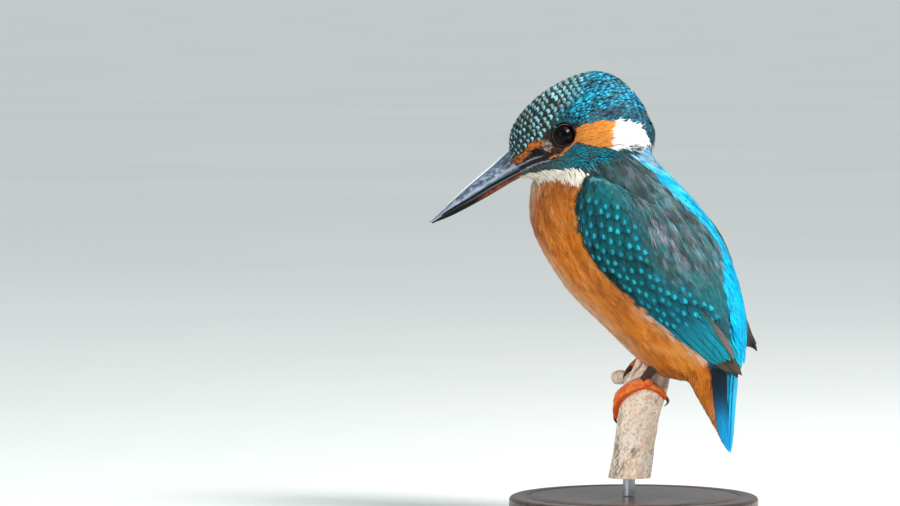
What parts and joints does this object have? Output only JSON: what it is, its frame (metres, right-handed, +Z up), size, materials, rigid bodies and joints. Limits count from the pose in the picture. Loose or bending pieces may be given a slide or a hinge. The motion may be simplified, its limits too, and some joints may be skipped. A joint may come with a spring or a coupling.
{
  "type": "common kingfisher model",
  "caption": "Life-size museum-style model of a common kingfisher gripping a short cut length of pale branch, held up by a plain round display stand.",
  "frame": {"origin": "centre of the display stand's flat underside, on the surface it stands on", "axes": "+Z up; the bird's body faces -Y, its left side is +X, and its head is turned about 24 degrees to its left"},
  "size_m": [0.08, 0.1029, 0.1444],
  "materials": {
    "head_plumage": "dark blue-green scale feathers barred with bright blue",
    "neck_plumage": "slate blue-green feathers with a pale throat and side patch",
    "breast_plumage": "soft rust-orange feathers",
    "wing_plumage": "deep teal feathers with small bright blue spots",
    "flight_plumage": "grey-brown flight feather tips",
    "tail_plumage": "bright cobalt-blue feathers",
    "undertail_plumage": "rust-orange feathers",
    "eye": "wet near-black",
    "bill_upper": "smooth slate-grey horn",
    "bill_lower": "black horn with an orange base",
    "foot": "orange-red scaled skin with dark claws",
    "bark": "pale weathered bark with brown flecks",
    "stand_wood": "dark satin wood",
    "stand_metal": "satin"
  },
  "bodies": {
    "root": {"head": "head_plumage", "neck": "neck_plumage", "trunk": "breast_plumage", "wing_left": "wing_plumage", "wing_right": "wing_plumage", "primaries_left": "flight_plumage", "primaries_right": "flight_plumage", "tail": "tail_plumage", "undertail_coverts": "undertail_plumage", "eye_left": "eye", "eye_right": "eye", "bill_upper": "bill_upper", "bill_lower": "bill_lower", "leg_left": "foot", "leg_right": "foot", "foot_left": "foot", "foot_right": "foot", "perch_branch": "bark", "perch_twig": "bark", "stand_base": "stand_wood", "stand_rod": "stand_metal"}
  },
  "joints": []
}
